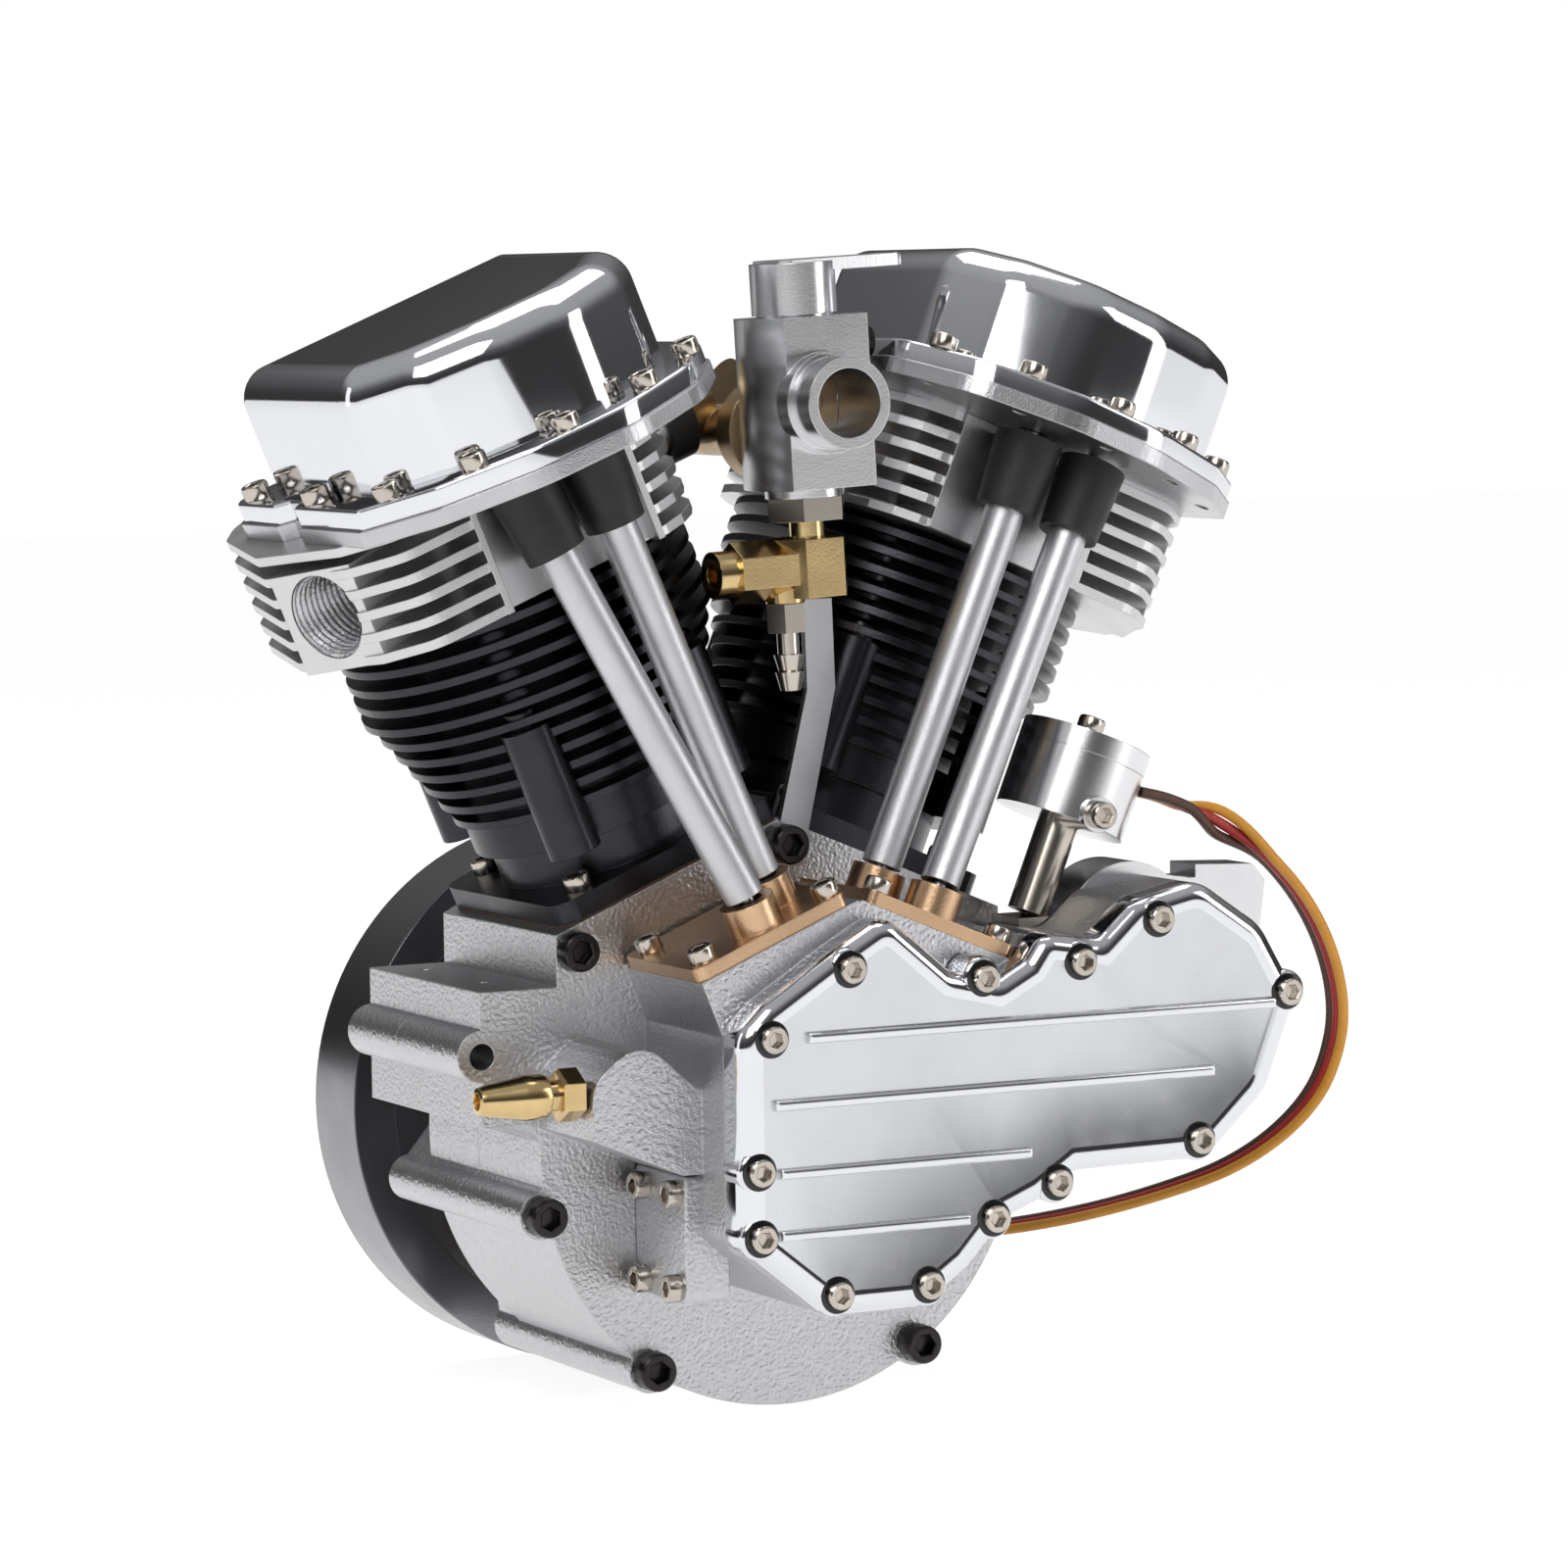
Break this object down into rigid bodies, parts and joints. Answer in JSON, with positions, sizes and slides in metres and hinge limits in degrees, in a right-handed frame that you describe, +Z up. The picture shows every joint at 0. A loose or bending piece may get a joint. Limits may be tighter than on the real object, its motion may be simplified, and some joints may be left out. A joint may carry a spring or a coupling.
{
  "type": "v-twin model engine",
  "caption": "Small air-cooled four-stroke v-twin engine with finned cylinders, polished rocker covers, exposed pushrod tubes, a timing chest, a carburettor and a flywheel.",
  "frame": {"origin": "midway between the two mounting holes in the crankcase lugs, on the joint of the two case halves", "axes": "+X to the right of the timing cover seen from its front, +Y along the crankshaft from the timing cover to the flywheel, +Z up between the cylinders"},
  "size_m": [0.1572, 0.1077, 0.1615],
  "materials": {
    "black_finned": "satin black anodised",
    "black_plastic": "satin",
    "black_screw": "black oxide, knurled",
    "brass": "satin",
    "brown_wire": "satin",
    "case": "bead-blasted",
    "ceramic": "glazed",
    "cover": "polished",
    "dark_steel": "satin dark",
    "gasket": "fibre",
    "manifold": "matte",
    "red_wire": "satin",
    "rubber": "matte",
    "satin_tube": "satin",
    "screw": "polished",
    "steel": "ground",
    "turned": "turned",
    "yellow_wire": "satin"
  },
  "bodies": {
    "case": {"crankcase_front": "case", "crankcase_rear": "case", "black_screws": "black_screw", "silver_screws": "screw", "timing_cover": "cover", "side_cover": "case", "breather_nipple": "brass", "main_bearings": "steel", "accessory_housing": "turned", "cylinder_left": "black_finned", "cylinder_right": "black_finned", "base_gaskets": "gasket", "head_left": "case", "head_right": "case", "rocker_plate_left": "case", "rocker_plate_right": "case", "rocker_cover_left": "cover", "rocker_cover_right": "cover", "pushrod_tubes": "satin_tube", "pushrod_boots": "rubber", "tappet_plates": "brass", "carburettor": "turned", "intake_manifold": "manifold", "manifold_sleeves": "rubber", "carburettor_nut": "screw", "fuel_elbow": "brass", "fuel_nipple": "screw", "support_strip": "screw", "ignition_housing": "turned", "ignition_cap": "turned", "ignition_post": "turned", "spark_plugs": "ceramic", "wire_brown": "brown_wire", "wire_red": "red_wire", "wire_yellow": "yellow_wire", "wire_hank": "brown_wire", "wire_plug": "black_plastic"},
    "crank": {"crankshaft": "steel", "flywheel": "dark_steel", "flywheel_nut": "screw"},
    "cam": {"camshaft": "steel"},
    "inner_idler": {"inner_idler_gear": "steel"},
    "outer_idler": {"outer_idler_gear": "steel"},
    "accessory_drive": {"accessory_gear": "steel"},
    "piston_left": {"piston_left": "satin_tube", "wrist_pin_left": "steel"},
    "piston_right": {"piston_right": "satin_tube", "wrist_pin_right": "steel"},
    "rod_left": {"rod_left": "satin_tube"},
    "rod_right": {"rod_right": "satin_tube"},
    "front_pushrod_left": {"front_pushrod_left": "steel"},
    "rear_pushrod_left": {"rear_pushrod_left": "steel"},
    "front_pushrod_right": {"front_pushrod_right": "steel"},
    "rear_pushrod_right": {"rear_pushrod_right": "steel"},
    "throttle": {"throttle_barrel": "turned"},
    "needle": {"needle_screw": "black_screw"}
  },
  "joints": [
    {"name": "crank_spin", "type": "hinge", "parent": "case", "child": "crank", "pos_m": [0, 0, -0.0145], "axis": [0, 1, 0], "continuous": true},
    {"name": "cam_spin", "type": "hinge", "parent": "case", "child": "cam", "pos_m": [0, -0.03, -0.00005], "axis": [0, 1, 0], "continuous": true},
    {"name": "inner_idler_spin", "type": "hinge", "parent": "case", "child": "inner_idler", "pos_m": [0.01685, -0.042, -0.00005], "axis": [0, 1, 0], "continuous": true},
    {"name": "outer_idler_spin", "type": "hinge", "parent": "case", "child": "outer_idler", "pos_m": [0.0313, -0.042, -0.00005], "axis": [0, 1, 0], "continuous": true},
    {"name": "accessory_spin", "type": "hinge", "parent": "case", "child": "accessory_drive", "pos_m": [0.04778, -0.02, 0.00345], "axis": [0, 1, 0], "continuous": true},
    {"name": "piston_left_slide", "type": "slide", "parent": "case", "child": "piston_left", "axis": [-0.3827, 0, 0.9239], "range_m": [-0.0166, 0.0007]},
    {"name": "rod_left_swing", "type": "hinge", "parent": "piston_left", "child": "rod_left", "pos_m": [-0.02753, -0.00185, 0.05197], "axis": [0, 1, 0], "range_deg": [-4.8, 10.8]},
    {"name": "piston_right_slide", "type": "slide", "parent": "case", "child": "piston_right", "axis": [0.3827, 0, 0.9239], "range_m": [-0.0166, 0.0007]},
    {"name": "rod_right_swing", "type": "hinge", "parent": "piston_right", "child": "rod_right", "pos_m": [0.02753, 0.00185, 0.05197], "axis": [0, 1, 0], "range_deg": [-10.8, 4.8]},
    {"name": "front_pushrod_left_lift", "type": "slide", "parent": "case", "child": "front_pushrod_left", "axis": [-0.3827, 0, 0.9239], "range_m": [0, 0.0012]},
    {"name": "rear_pushrod_left_lift", "type": "slide", "parent": "case", "child": "rear_pushrod_left", "axis": [-0.3827, 0, 0.9239], "range_m": [0, 0.0012]},
    {"name": "front_pushrod_right_lift", "type": "slide", "parent": "case", "child": "front_pushrod_right", "axis": [0.3827, 0, 0.9239], "range_m": [0, 0.0012]},
    {"name": "rear_pushrod_right_lift", "type": "slide", "parent": "case", "child": "rear_pushrod_right", "axis": [0.3827, 0, 0.9239], "range_m": [0, 0.0012]},
    {"name": "throttle_turn", "type": "hinge", "parent": "case", "child": "throttle", "pos_m": [0.0024, -0.0235, 0.0869], "axis": [-0.0523, 0, 0.9986], "range_deg": [-5, 85]},
    {"name": "needle_turn", "type": "hinge", "parent": "case", "child": "needle", "pos_m": [0.00999, -0.0235, 0.09501], "axis": [0.9986, 0, 0.0523], "continuous": true}
  ],
  "couplings": [
    {"joint": "cam_spin", "follows": "crank_spin", "ratio": -0.5},
    {"joint": "inner_idler_spin", "follows": "crank_spin", "ratio": 0.66667},
    {"joint": "outer_idler_spin", "follows": "crank_spin", "ratio": -0.66667},
    {"joint": "accessory_spin", "follows": "crank_spin", "ratio": 0.5}
  ]
}
